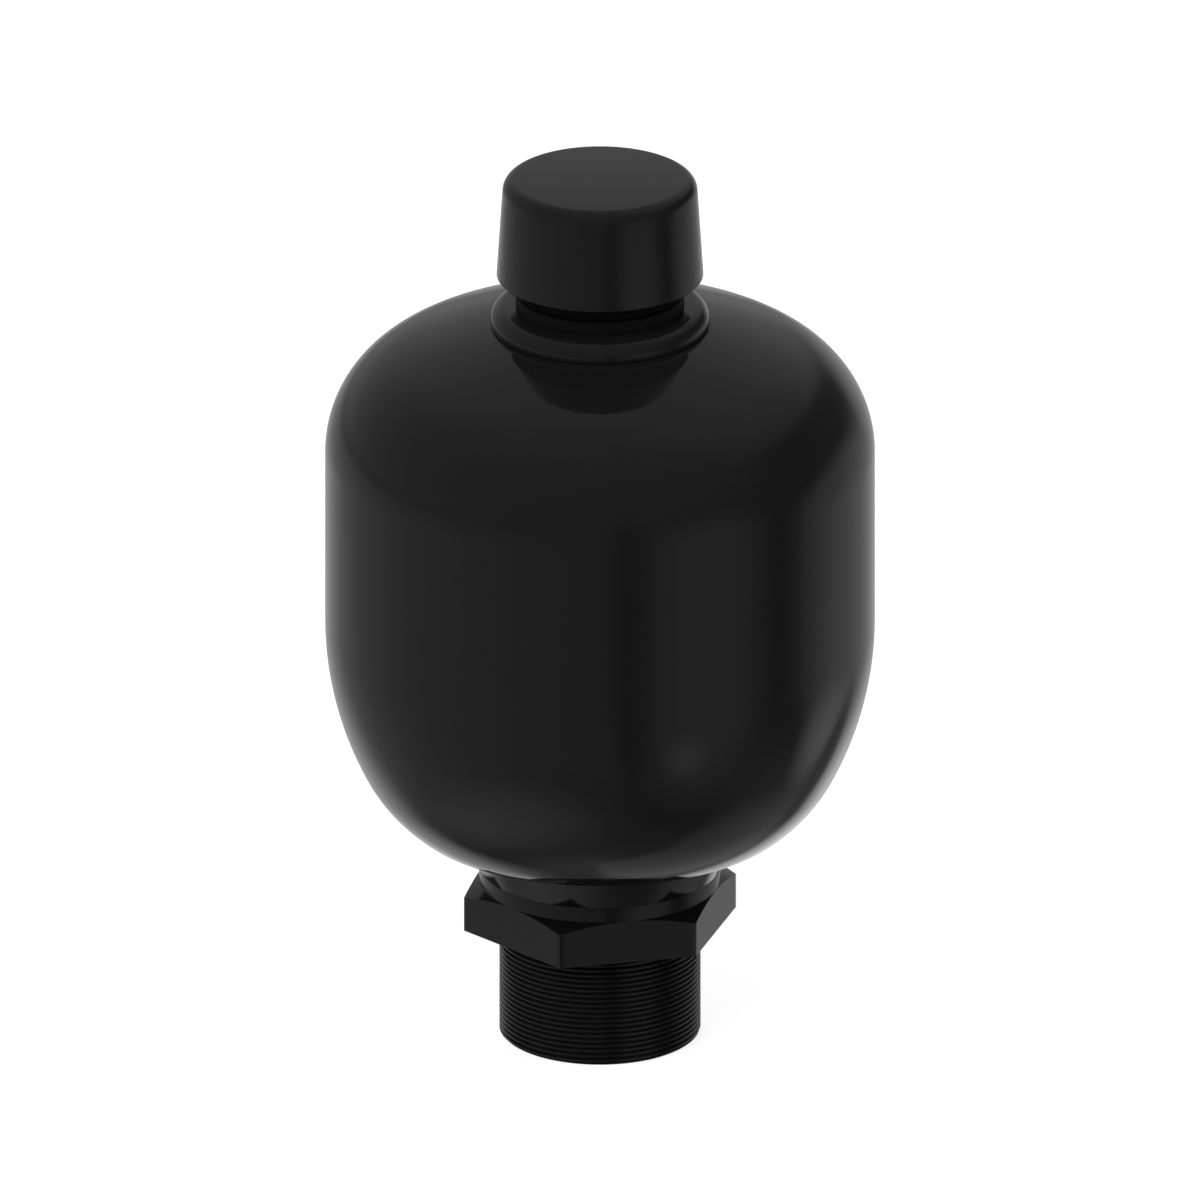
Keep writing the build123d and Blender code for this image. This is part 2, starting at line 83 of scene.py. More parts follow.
# Support ring and the round lock nut on the valve stem
support_fillet = 4.5 * mm
support_foot = 0.3 * mm
gas_nut_bore = 11.05 * mm
gas_nut_flange_height = 3.6 * mm
gas_nut_flange_edge = 0.15 * mm
gas_nut_chamfer = 0.7 * mm
gas_thread_radius = 22.0 * mm
gas_thread_pitch = 1.5 * mm
gas_thread_depth = 0.85 * mm
pin_hole_radius = 2.5 * mm
pin_hole_depth = 4.0 * mm
pin_hole_circle = 16.0 * mm
pin_hole_count = 4

# Protective cap
cap_bottom_radius = 28.8 * mm
cap_top_radius = 26.95 * mm
cap_bottom_land = 0.4 * mm
cap_bottom_edge = 0.2 * mm
cap_chamfer_height = 5.45 * mm
cap_top_fillet = 3.6 * mm
cap_top_thickness = 3.6 * mm
cap_cavity_radius = 19.8 * mm
cap_cavity_fillet = 2.0 * mm
cap_skirt_depth = 7.75 * mm
cap_thread_start = 0.8 * mm
cap_thread_gap = 0.1 * mm

# Lock nut and spacer ring
nut_bore = 28.05 * mm
nut_bore_chamfer = 0.7 * mm
hex_height = 12.3 * mm
hex_chamfer_height = 2.5 * mm
hex_edge = 0.12 * mm
collar_step = 0.05 * mm
collar_edge = 0.1 * mm
pilot_radius = 30.95 * mm
pilot_height = 3.5 * mm
spacer_edge = 0.1 * mm

# Fluid port: male thread outside, female thread inside, spider and conical seat
port_radius = 28.0 * mm
port_thread_pitch = 1.5 * mm
port_thread_depth = 0.92 * mm
stub_length = 32.9 * mm
stub_chamfer = 0.85 * mm
relief_width = 1.5 * mm
relief_radius = 27.0 * mm
flange_height = 10.0 * mm
flange_edge = 0.5 * mm
seat_rim = 3.6 * mm
passage_radius = 18.0 * mm
bore_thread_radius = 19.5 * mm
bore_thread_pitch = 2.309 * mm
bore_thread_depth = 1.4 * mm
bore_thread_end = 18.5 * mm
bore_depth = 21.0 * mm
bore_chamfer = 1.7 * mm
hub_radius = 10.5 * mm
hub_edge = 0.6 * mm
bush_bore = 7.55 * mm
rib_width = 5.0 * mm
rib_inset = 1.0 * mm
rib_count = 4

# Threads: shares of the pitch at the crest and on each flank, and the turns that start below the piece
crest_share = 1 / 4
flank_share = 1 / 3
lead_turns = 1.3

# Springs: closed end turns, ground off by a share of the wire's radius, and open turns between them
ground_share = 1 / 4
poppet_wire_radius = 1.0 * mm
poppet_open_turns = 3.5
core_wire_radius = 0.2 * mm
core_open_turns = 4.0

# Refraction of the paint and of the black steel, which sets how strongly they mirror
paint_refraction = 1.33
steel_refraction = 1.36

# View of the photograph
picture_pixels = 1200
pixel_size = 0.27819 * mm
view_azimuth = -13.26
view_elevation = 21.83
view_height = 128.4 * mm
view_distance = 2.0

# Floor: half its width in metres, its own grey and the glow that makes it white to the viewer
floor_reach = 6.0
floor_grey = 0.5
floor_glow = 0.75

# Soft lamps: azimuth from the front and elevation in degrees, distance and width in metres, and watts
lamps = {
    "key_lamp": (-50, 38, 2.2, 1.6, 26.0),
    "fill_lamp": (60, 28, 2.4, 1.6, 16.0),
    "back_lamp": (170, 35, 2.4, 1.6, 16.0),
}

# Studio walls: their grey level at each elevation in degrees
wall_levels = (
    (-90, 0.47),
    (-70, 0.19),
    (-57, 0.05),
    (-40, 0.41),
    (-20, 0.49),
    (-9, 0.45),
    (-4, 0.31),
    (2, 0.40),
    (20, 0.40),
    (45, 0.37),
    (70, 0.40),
    (90, 0.36),
)

# Soft screens before the walls, from the farthest to the nearest: azimuth from the viewer towards the
# right, elevation, half the width, half the height and lean in degrees, then softness and grey level
screens = (
    (-10, 30, 90, 35, 0, 0.7, 0.33),
    (122, -94, 60, 50, 0, 0.15, 0.65),
    (-54, -58, 56, 12, -3, 0.7, 0.63),
    (45, -4, 78, 55, -16, 0.9, 0.21),
    (101, -4, 46, 37, -6, 0.4, 0.12),
    (118, 20, 42, 11, -15, 0.4, 0.10),
    (115, 62, 30, 18, 0, 0.7, 0.46),
    (158, -15, 13, 20, 0, 0.5, 0.56),
    (13, -19, 8, 27, 6, 0.5, 0.12),
    (47, -23, 20, 22, 0, 0.7, 0.50),
    (40, -37, 9, 6, -12, 0.7, 0.74),
    (122, -16, 30, 17, -4, 0.4, 0.51),
    (117, -32, 11, 8, 0, 0.7, 0.80),
    (176, -41, 29, 13, -12, 0.4, 1.15),
    (138, -36, 7, 10, 0, 0.5, 0.20),
    (-154, -43, 17, 20, 30, 0.7, 0.76),
)


class Value:
    """A socket of a node tree. Arithmetic on it adds Math nodes."""

    def __init__(self, nodes, socket):
        self.nodes = nodes
        self.socket = socket

    def output(self, name):
        """Another output of the same node."""
        return Value(self.nodes, self.socket.node.outputs[name])

    def maths(self, operation, first, second=0.0):
        return self.nodes.add("ShaderNodeMath", {"operation": operation}, {0: first, 1: second})

    def __add__(self, other):
        return self.maths("ADD", self, other)

    def __radd__(self, other):
        return self.maths("ADD", other, self)

    def __sub__(self, other):
        return self.maths("SUBTRACT", self, other)

    def __rsub__(self, other):
        return self.maths("SUBTRACT", other, self)

    def __mul__(self, other):
        return self.maths("MULTIPLY", self, other)

    def __rmul__(self, other):
        return self.maths("MULTIPLY", other, self)

    def __truediv__(self, other):
        return self.maths("DIVIDE", self, other)

    def __pow__(self, other):
        return self.maths("POWER", self, other)


class Nodes:
    """The node tree of one material or of the world."""

    def __init__(self, owner):
        owner.use_nodes = True
        self.tree = owner.node_tree
        self.tree.nodes.clear()

    def add(self, kind, settings=None, inputs=None, output=0):
        """Adds a node with its settings, a ramp's stops too, and its sockets' values or links."""
        node = self.tree.nodes.new(kind)
        for name, setting in (settings or {}).items():
            if name == "stops":
                self.set_stops(node.color_ramp, setting)
            else:
                setattr(node, name, setting)
        for name, value in (inputs or {}).items():
            if isinstance(value, Value):
                self.tree.links.new(value.socket, node.inputs[name])
            else:
                node.inputs[name].default_value = value
        return Value(self, node.outputs[output]) if node.outputs else None

    def set_stops(self, ramp, stops):
        """Gives a ramp one element for each pair of place and grey level."""
        while len(ramp.elements) < len(stops):
            ramp.elements.new(1.0)
        for element, (place, level) in zip(ramp.elements, stops):
            element.position = place
            element.color = (level, level, level, 1.0)

    def blend(self, factor, first, second):
        """A colour between two others. The colours' sockets share their names, so they go by number."""
        return self.add(
            "ShaderNodeMix",
            {"data_type": "RGBA"},
            {"Factor": factor, 6: first, 7: second},
            output=2,
        )

    def noise(self, place, scale, detail=2.0, settings=None):
        return self.add(
            "ShaderNodeTexNoise",
            settings,
            {"Vector": place, "Scale": scale, "Detail": detail},
        )

    def bump(self, height, distance, strength=1.0):
        return self.add(
            "ShaderNodeBump",
            None,
            {"Height": height, "Distance": distance, "Strength": strength},
        )

    def surface(self, inputs):
        shader = self.add("ShaderNodeBsdfPrincipled", None, inputs)
        self.add("ShaderNodeOutputMaterial", None, {"Surface": shader})


# Outlines and turned forms

def rounded(corners):
    """Points of an outline through its corners. A third number rounds a corner to that radius."""
    points = []
    for index, corner in enumerate(corners):
        here = Vector(corner[:2])
        if len(corner) == 2:
            points.append(here)
            continue
        radius = corner[2]
        back = (Vector(corners[index - 1][:2]) - here).normalized()
        ahead = (Vector(corners[(index + 1) % len(corners)][:2]) - here).normalized()
        half_angle = back.angle(ahead) / 2
        reach = radius / math.tan(half_angle)
        centre = here + (back + ahead).normalized() * radius / math.sin(half_angle)
        first = here + back * reach - centre
        last = here + ahead * reach - centre
        for step in range(rounding_steps + 1):
            points.append(centre + radius * first.slerp(last, step / rounding_steps))
    return points


def arc(centre, radius, start, end):
    """Points on an arc of an outline, from one angle to another, in degrees up from level."""
    points = []
    for step in range(arc_steps + 1):
        angle = math.radians(start + (end - start) * step / arc_steps)
        points.append(Vector(centre) + radius * Vector((math.cos(angle), math.sin(angle))))
    return points


def make_object(name, bm):
    mesh = bpy.data.meshes.new(name)
    bm.to_mesh(mesh)
    bm.free()
    piece = bpy.data.objects.new(name, mesh)
    scene.collection.objects.link(piece)
    return piece


def spun_mesh(outline, closed):
    """The outline of (radius, height) points turned once round the axis."""
    bm = bmesh.new()
    verts = [bm.verts.new((point[0], 0, point[1])) for point in outline]
    edges = [bm.edges.new(pair) for pair in zip(verts, verts[1:])]
    if closed:
        edges.append(bm.edges.new((verts[-1], verts[0])))
    bmesh.ops.spin(
        bm,
        geom=verts + edges,
        cent=(0, 0, 0),
        axis=(0, 0, 1),
        angle=2 * math.pi,
        steps=faces_around,
        use_merge=True,
    )
    bmesh.ops.remove_doubles(bm, verts=bm.verts, dist=merge_distance)
    bmesh.ops.recalc_face_normals(bm, faces=bm.faces)
    return bm


def turned_ring(name, outline):
    """A piece turned from a closed outline that stays clear of the axis."""
    return make_object(name, spun_mesh(outline, closed=True))


def turned_solid(name, outline):
    """A piece turned from an open outline that begins and ends on the axis."""
    return make_object(name, spun_mesh(outline, closed=False))


def round_edges(bm, edges, reach, segments):
    """Rounds edges off, as far in from each as reach."""
    bmesh.ops.bevel(
        bm,
        geom=edges,
        offset=reach,
        offset_type="OFFSET",
        segments=segments,
        profile=0.5,
        affect="EDGES",
        material=-1,
    )


def cut_flat(bm, level, upper):
    """Removes what lies above or below a level, and closes the cut."""
    cut = bmesh.ops.bisect_plane(
        bm,
        geom=bm.verts[:] + bm.edges[:] + bm.faces[:],
        dist=merge_distance,
        plane_co=(0, 0, level),
        plane_no=(0, 0, 1 if upper else -1),
        clear_outer=True,
    )
    rim = [item for item in cut["geom_cut"] if isinstance(item, bmesh.types.BMEdge)]
    bmesh.ops.triangle_fill(bm, use_beauty=True, edges=rim)


def threaded_rod(name, crest, depth, pitch, low, high):
    """A closed rod with a right-hand thread, cut off flat at both levels."""
    root = crest - depth
    flat = pitch * crest_share
    flank = pitch * flank_share
    ridges = math.ceil((high - low) / pitch) + 2
    bm = bmesh.new()
    verts = []
    for ridge in range(ridges):
        level = low + (ridge - lead_turns) * pitch
        for radius, rise in ((crest, 0), (crest, flat), (root, flat + flank), (root, pitch - flank)):
            verts.append(bm.verts.new((radius, 0, level + rise)))
    edges = [bm.edges.new(pair) for pair in zip(verts, verts[1:])]
    bmesh.ops.spin(
        bm,
        geom=verts + edges,
        cent=(0, 0, 0),
        axis=(0, 0, 1),
        dvec=(0, 0, pitch / faces_around),
        angle=2 * math.pi,
        steps=faces_around,
    )
    bmesh.ops.remove_doubles(bm, verts=bm.verts, dist=merge_distance)
    cut_flat(bm, low, upper=False)
    cut_flat(bm, high, upper=True)
    bmesh.ops.recalc_face_normals(bm, faces=bm.faces)
    return make_object(name, bm)


def combine(piece, other, operation):
    """Joins, cuts or intersects two closed pieces. The first takes the result, and the second goes."""
    modifier = piece.modifiers.new("combine", "BOOLEAN")
    modifier.operation = operation
    modifier.solver = "MANIFOLD"
    modifier.object = other
    bpy.context.view_layer.update()
    evaluated = piece.evaluated_get(bpy.context.evaluated_depsgraph_get())
    result = bpy.data.meshes.new_from_object(evaluated)
    piece.modifiers.clear()
    blank = piece.data
    piece.data = result
    bpy.data.meshes.remove(blank)
    bpy.data.meshes.remove(other.data)


def coil_spring(name, low, high, outer_radius, wire_radius, open_turns):
    """Round wire wound up the axis with a closed turn at each end, ground flat at both levels."""
    margin = wire_radius * ground_share
    closed_rise = 2 * wire_radius
    open_rise = high - low - 2 * margin - 2 * closed_rise
    start = Matrix.Translation((outer_radius - wire_radius, 0, low + margin))
    bm = bmesh.new()
    bmesh.ops.create_circle(
        bm,
        cap_ends=True,
        segments=wire_faces,
        radius=wire_radius,
        matrix=start @ Matrix.Rotation(math.pi / 2, 4, "X"),
    )
    bm.verts.ensure_lookup_table()
    last = bm.verts[:] + bm.edges[:] + bm.faces[:]
    for turns, rise in ((1, closed_rise), (open_turns, open_rise), (1, closed_rise)):
        steps = round(turns * coil_faces)
        wound = bmesh.ops.spin(
            bm,
            geom=last,
            cent=(0, 0, 0),
            axis=(0, 0, 1),
            dvec=(0, 0, rise / steps),
            angle=2 * math.pi * turns,
            steps=steps,
        )
        last = wound["geom_last"]
    bmesh.ops.recalc_face_normals(bm, faces=bm.faces)
    cut_flat(bm, low, upper=False)
    cut_flat(bm, high, upper=True)
    bmesh.ops.recalc_face_normals(bm, faces=bm.faces)
    return make_object(name, bm)


# Pieces of the gas side

def shell():
    """The forged vessel: outer form, flat seat on the crown, cavity and both mouths."""
    low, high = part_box("shell")
    radius = high.x
    lower_radius = radius + lower_bulge
    angle = math.radians(lower_arc_angle)
    lower_x = (lower_radius - lower_knuckle_radius) * math.cos(angle) - lower_bulge
    lower_z = low.z - lower_flat_depth + lower_knuckle_radius
    straight_low = lower_z + (lower_radius - lower_knuckle_radius) * math.sin(angle)
    straight_high = straight_low + shell_straight
    knuckle_x = radius - knuckle_radius
    crown_angle = math.degrees(math.acos(knuckle_x / (crown_radius - knuckle_radius)))
    crown_z = straight_high - (crown_radius - knuckle_radius) * math.sin(math.radians(crown_angle))

    def wall(inset, floor, ceiling):
        """The vessel's outline from a floor up to a ceiling, moved inwards by inset."""
        foot = math.degrees(math.asin((floor - lower_z) / (lower_knuckle_radius - inset)))
        head = math.degrees(math.asin((ceiling - crown_z) / (crown_radius - inset)))
        points = arc((lower_x, lower_z), lower_knuckle_radius - inset, foot, -lower_arc_angle)
        points += arc((-lower_bulge, straight_low), lower_radius - inset, -lower_arc_angle, 0)
        points += arc((knuckle_x, straight_high), knuckle_radius - inset, 0, crown_angle)
        points += arc((0, crown_z), crown_radius - inset, crown_angle, head)
        return points

    floor = low.z + mouth_thickness
    ceiling = high.z - top_thickness
    outline = [(mouth_radius, low.z + mouth_chamfer), (mouth_radius + mouth_chamfer, low.z)]
    outline += wall(0, low.z, high.z)
    outline += [(top_hole_radius, high.z), (top_hole_radius, ceiling)]
    outline += reversed(wall(shell_wall, floor, ceiling))
    outline += [(mouth_radius, floor)]
    return turned_ring("shell_body", outline)


def support_ring():
    low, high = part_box("support_ring")
    return turned_ring(
        "support_ring_body",
        rounded(
            [
                (top_hole_radius, low.z),
                (high.x, low.z, support_foot),
                (high.x, high.z, support_fillet),
                (top_hole_radius, high.z, support_foot),
            ]
        ),
    )


def gas_lock_nut():
    """The round nut: a flange, and a part threaded outside, with holes for a pin spanner in its top."""
    low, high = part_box("gas_lock_nut")
    root = gas_thread_radius - gas_thread_depth
    proud = gas_thread_radius + cap_thread_gap
    slope = proud - root
    nut = threaded_rod(
        "gas_lock_nut_body",
        gas_thread_radius,
        gas_thread_depth,
        gas_thread_pitch,
        low.z - mm,
        high.z + mm,
    )
    blank = turned_ring(
        "nut_blank",
        [
            (gas_nut_bore, low.z + gas_nut_chamfer),
            (gas_nut_bore + gas_nut_chamfer, low.z),
            (proud, low.z),
            (proud, high.z - slope),
            (root, high.z),
            (gas_nut_bore + gas_nut_chamfer, high.z),
            (gas_nut_bore, high.z - gas_nut_chamfer),
        ],
    )
    combine(nut, blank, "INTERSECT")
    flange = turned_ring(
        "nut_flange",
        rounded(
            [
                (gas_nut_bore + gas_nut_chamfer, low.z),
                (high.x, low.z, gas_nut_flange_edge),
                (high.x, low.z + gas_nut_flange_height, gas_nut_flange_edge),
                (gas_nut_bore + gas_nut_chamfer, low.z + gas_nut_flange_height),
            ]
        ),
    )
    combine(nut, flange, "UNION")
    for index in range(pin_hole_count):
        turn = Matrix.Rotation(2 * math.pi * index / pin_hole_count, 4, "Z")
        bm = bmesh.new()
        bmesh.ops.create_cone(
            bm,
            cap_ends=True,
            segments=coil_faces,
            radius1=pin_hole_radius,
            radius2=pin_hole_radius,
            depth=2 * pin_hole_depth,
            matrix=turn @ Matrix.Translation((pin_hole_circle, 0, high.z)),
        )
        combine(nut, make_object("pin_hole", bm), "DIFFERENCE")
    return nut


def protective_cap():
    """The turned cap, slightly tapered, with its thread inside the skirt."""
    low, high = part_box("protective_cap")
    bore = gas_thread_radius + cap_thread_gap
    step = low.z + cap_skirt_depth
    ceiling = high.z - cap_top_thickness
    cap = turned_solid(
        "protective_cap_body",
        rounded(
            [
                (0, ceiling),
                (cap_cavity_radius, ceiling, cap_cavity_fillet),
                (cap_cavity_radius, step),
                (bore, step),
                (bore, low.z),
                (bore + cap_bottom_land, low.z),
                (cap_bottom_radius, low.z + cap_chamfer_height, cap_bottom_edge),
                (cap_top_radius, high.z, cap_top_fillet),
                (0, high.z),
            ]
        ),
    )
    tool = threaded_rod(
        "cap_thread",
        bore + gas_thread_depth,
        gas_thread_depth,
        gas_thread_pitch,
        low.z + cap_thread_start,
        step - gas_thread_pitch / 2,
    )
    combine(cap, tool, "DIFFERENCE")
    return cap


# Pieces of the fluid side

def lock_nut():
    """The hexagonal nut with its turned collar, and the cone that chamfers its upper side."""
    low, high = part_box("lock_nut")
    corner = high.x
    flat = corner * math.cos(math.pi / 6)
    hex_top = low.z + hex_height
    collar = flat - collar_step
    slope = hex_chamfer_height / (corner - flat)
    bm = spun_mesh(
        rounded(
            [
                (nut_bore, low.z + nut_bore_chamfer),
                (nut_bore + nut_bore_chamfer, low.z),
                (corner, low.z),
                (corner, hex_top - hex_chamfer_height),
                (collar, hex_top),
                (collar, high.z, collar_edge),
                (nut_bore + nut_bore_chamfer, high.z),
                (nut_bore, high.z - nut_bore_chamfer),
            ]
        ),
        closed=True,
    )
    rim = [vert for vert in bm.verts if vert.co.xy.length > flat]
    for vert in rim:
        angle = math.atan2(vert.co.y, vert.co.x)
        radius = flat / math.cos(angle % (math.pi / 3) - math.pi / 6)
        if vert.co.z > low.z + hex_height / 2:
            vert.co.z = hex_top - slope * (radius - flat)
        vert.co.xy = (radius * math.cos(angle), radius * math.sin(angle))
    upright = [
        edge
        for edge in bm.edges
        if edge.verts[0].co.xy.length > corner - merge_distance
        and edge.verts[1].co.xy.length > corner - merge_distance
        and abs(edge.verts[0].co.z - edge.verts[1].co.z) > mm
    ]
    round_edges(bm, upright, hex_edge, segments=2)
    bmesh.ops.recalc_face_normals(bm, faces=bm.faces)
    return make_object("lock_nut_body", bm)


def spacer_ring():
    """The ring that flares from the nut's collar up to the shell, with a pilot in the shell's mouth."""
    low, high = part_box("spacer_ring")
    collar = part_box("lock_nut")[1].x * math.cos(math.pi / 6) - collar_step
    shoulder = high.z - pilot_height
    return turned_ring(
        "spacer_ring_body",
        rounded(
            [
                (nut_bore, low.z),
                (collar, low.z, spacer_edge),
                (high.x, shoulder),
                (pilot_radius, shoulder),
                (pilot_radius, high.z, spacer_edge),
                (nut_bore, high.z),
            ]
        ),
    )


def fluid_port_body():
    """The turned port body with both threads, the conical seat and the spider that guides the poppet."""
    low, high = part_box("fluid_port_body")
    hub_low, hub_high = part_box("guide_bush")
    flange_radius = high.x
    flange_low = high.z - flange_height
    seat_radius = flange_radius - seat_rim
    thread_root = port_radius - port_thread_depth
    body = turned_solid(
        "fluid_port_body_steel",
        rounded(
            [
                (0, stub_length - mm),
                (relief_radius, stub_length - mm),
                (relief_radius, stub_length + relief_width),
                (port_radius, stub_length + relief_width, stub_chamfer / 2),
                (port_radius, flange_low),
                (flange_radius, flange_low, flange_edge),
                (flange_radius, high.z, flange_edge),
                (0, high.z),
            ]
        ),
    )
    stub = threaded_rod(
        "stub",
        port_radius,
        port_thread_depth,
        port_thread_pitch,
        low.z - mm,
        stub_length + mm,
    )
    blank = turned_solid(
        "stub_blank",
        [
            (0, low.z),
            (port_radius - stub_chamfer, low.z),
            (port_radius + mm, low.z + stub_chamfer + mm),
            (port_radius + mm, stub_length - port_thread_depth - mm),
            (thread_root, stub_length),
            (0, stub_length),
        ],
    )
    combine(stub, blank, "INTERSECT")
    combine(body, stub, "UNION")
    passage = turned_solid(
        "passage",
        [
            (0, bore_thread_end),
            (bore_thread_radius + bore_thread_depth, bore_thread_end),
            (bore_thread_radius + bore_thread_depth, bore_depth),
            (passage_radius, bore_depth),
            (passage_radius, high.z - (seat_radius - passage_radius)),
            (seat_radius + mm, high.z + mm),
            (0, high.z + mm),
        ],
    )
    combine(body, passage, "DIFFERENCE")
    bore = threaded_rod(
        "bore",
        bore_thread_radius + bore_thread_depth,
        bore_thread_depth,
        bore_thread_pitch,
        low.z - mm,
        bore_thread_end + mm,
    )
    combine(body, bore, "DIFFERENCE")
    mouth = turned_solid(
        "mouth",
        [
            (0, low.z - mm),
            (bore_thread_radius + bore_chamfer + mm, low.z - mm),
            (bore_thread_radius, low.z + bore_chamfer),
            (0, low.z + bore_chamfer),
        ],
    )
    combine(body, mouth, "DIFFERENCE")
    hub = turned_ring(
        "hub",
        rounded(
            [
                (bush_bore, hub_low.z),
                (hub_radius, hub_low.z, hub_edge),
                (hub_radius, hub_high.z, hub_edge),
                (bush_bore, hub_high.z),
            ]
        ),
    )
    for index in range(rib_count):
        combine(hub, spider_rib(index, hub_low.z + rib_inset, hub_high.z - rib_inset), "UNION")
    combine(body, hub, "UNION")
    return body


def spider_rib(index, low, high):
    """One rib from the hub to the passage's wall, with its long edges rounded."""
    inner = (bush_bore + hub_radius) / 2
    outer = passage_radius + rib_inset
    bm = bmesh.new()
    middle = Matrix.Translation(((inner + outer) / 2, 0, (low + high) / 2))
    size = Matrix.Diagonal((outer - inner, rib_width, high - low, 1))
    bmesh.ops.create_cube(bm, size=1, matrix=middle @ size)
    long_edges = [edge for edge in bm.edges if abs(edge.verts[0].co.x - edge.verts[1].co.x) > mm]
    round_edges(bm, long_edges, hub_edge, segments=3)
    turn = 2 * math.pi * (index + 0.5) / rib_count
    bmesh.ops.rotate(bm, verts=bm.verts, cent=(0, 0, 0), matrix=Matrix.Rotation(turn, 3, "Z"))
    return make_object("rib", bm)


def poppet_spring():
    low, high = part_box("poppet_spring")
    spring = coil_spring(
        "poppet_spring_wire",
        low.z,
        high.z,
        high.x,
        poppet_wire_radius,
        poppet_open_turns,
    )
    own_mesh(spring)
    return spring


def valve_core_spring():
    low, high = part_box("valve_core_spring")
    spring = coil_spring(
        "valve_core_spring_wire",
        low.z,
        high.z,
        high.x,
        core_wire_radius,
        core_open_turns,
    )
    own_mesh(spring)
    return spring


# Finishes

def new_finish(name):
    """A new material with its nodes and the place on the piece."""
    material = bpy.data.materials.new(name)
    nodes = Nodes(material)
    place = nodes.add("ShaderNodeTexCoord", output="Object")
    return material, nodes, place


def tool_marks(nodes, place, scale):
    """Fine rings round the axis, as a cutting tool leaves them."""
    x = nodes.add("ShaderNodeSeparateXYZ", None, {0: place})
    y = x.output("Y")
    radius = (x * x + y * y) ** 0.5
    across = nodes.add("ShaderNodeCombineXYZ", None, {"X": radius, "Y": x.output("Z")})
    return nodes.noise(across, scale, 3.0, {"noise_dimensions": "2D"})


def paint_finish(name, roughness, peel_height):
    """Stoved black paint: orange peel, a haze in wide soft patches and a deep colour."""
    material, nodes, place = new_finish(name)
    peel = nodes.noise(place, 420.0, 1.0)
    haze = nodes.noise(place, 24.0, 3.0)
    nodes.surface(
        {
            "Base Color": nodes.blend(haze, (0.0080, 0.0080, 0.0084, 1), (0.0091, 0.0091, 0.0094, 1)),
            "Roughness": roughness - 0.01 + 0.02 * haze,
            "IOR": paint_refraction,
            "Normal": nodes.bump(peel, peel_height),
        }
    )
    return material


def blackened_steel():
    """Black oxide over turned steel: tool marks show faintly through it."""
    material, nodes, place = new_finish("blackened_steel")
    marks = tool_marks(nodes, place, 2600.0)
    haze = nodes.noise(place, 60.0, 3.0)
    nodes.surface(
        {
            "Base Color": nodes.blend(haze, (0.0062, 0.0062, 0.0063, 1), (0.0076, 0.0075, 0.0074, 1)),
            "Roughness": 0.10 + 0.04 * haze,
            "IOR": steel_refraction,
            "Normal": nodes.bump(marks, 0.002 * mm),
        }
    )
    return material


def dull_steel_with_painted_shade():
    """Dull black phosphate with a fine crystalline grain and a cloudy depth of colour, set darker than
    the other black steel as painted shade in the slot under the cap.
    """
    material, nodes, place = new_finish("dull_steel_with_painted_shade")
    grain = nodes.noise(place, 2200.0, 2.0)
    haze = nodes.noise(place, 80.0, 3.0)
    nodes.surface(
        {
            # Darker than the blackened steel: painted shade where the round nut shows in the slot under
            # the cap
            "Base Color": nodes.blend(haze, (0.0030, 0.0030, 0.0031, 1), (0.0050, 0.0049, 0.0048, 1)),
            "Roughness": 0.70 + 0.15 * haze,
            "IOR": paint_refraction,
            "Normal": nodes.bump(grain, 0.004 * mm),
        }
    )
    return material


def metal_finish(name, dark, light, roughness, mark_scale, mark_height):
    """Bare metal with tool marks round its axis and a slight change of colour."""
    material, nodes, place = new_finish(name)
    marks = tool_marks(nodes, place, mark_scale)
    cloud = nodes.noise(place, 90.0, 3.0)
    nodes.surface(
        {
            "Base Color": nodes.blend(cloud, dark, light),
            "Metallic": 1.0,
            "Roughness": roughness - 0.05 + 0.1 * marks,
            "Normal": nodes.bump(marks, mark_height),
        }
    )
    return material


def rubber_finish():
    """Moulded rubber: dull, with a fine grain and a faint bloom."""
    material, nodes, place = new_finish("moulded_rubber")
    grain = nodes.noise(place, 1500.0, 2.0)
    bloom = nodes.noise(place, 45.0, 4.0)
    nodes.surface(
        {
            "Base Color": nodes.blend(bloom, (0.012, 0.012, 0.012, 1), (0.026, 0.026, 0.027, 1)),
            "Roughness": 0.6 + 0.2 * bloom,
            "Normal": nodes.bump(grain, 0.01 * mm),
        }
    )
    return material


def plastic_finish():
    """White backup ring: waxy plastic with faint tool marks."""
    material, nodes, place = new_finish("white_seal_plastic")
    marks = tool_marks(nodes, place, 1800.0)
    cloud = nodes.noise(place, 60.0, 2.0)
    nodes.surface(
        {
            "Base Color": nodes.blend(cloud, (0.80, 0.80, 0.77, 1), (0.88, 0.88, 0.86, 1)),
            "Roughness": 0.35 + 0.1 * marks,
            "Normal": nodes.bump(marks, 0.003 * mm),
        }
    )
    return material


def all_finishes():
    """One material for each material slot of the record."""
    return {
        "black_paint": paint_finish("gloss_black_paint", 0.06, 0.001 * mm),
        "cap_paint": paint_finish("satin_black_paint", 0.12, 0.002 * mm),
        "black_steel": blackened_steel(),
        "dull_black_steel": dull_steel_with_painted_shade(),
        "bright_steel": metal_finish(
            "turned_steel", (0.50, 0.51, 0.52, 1), (0.60, 0.61, 0.62, 1), 0.28, 2400.0, 0.003 * mm
        ),
        "spring_steel": metal_finish(
            "spring_wire", (0.28, 0.29, 0.31, 1), (0.40, 0.41, 0.43, 1), 0.32, 3200.0, 0.002 * mm
        ),
        "bronze": metal_finish(
            "turned_brass", (0.56, 0.40, 0.17, 1), (0.68, 0.50, 0.23, 1), 0.26, 2400.0, 0.003 * mm
        ),
        "black_rubber": rubber_finish(),
        "white_plastic": plastic_finish(),
    }


# Studio

def turned_direction(azimuth, elevation):
    """The direction from the object towards a viewer at that azimuth and elevation."""
    side = math.radians(azimuth)
    rise = math.radians(elevation)
    return Vector((math.sin(side) * math.cos(rise), -math.cos(side) * math.cos(rise), math.sin(rise)))


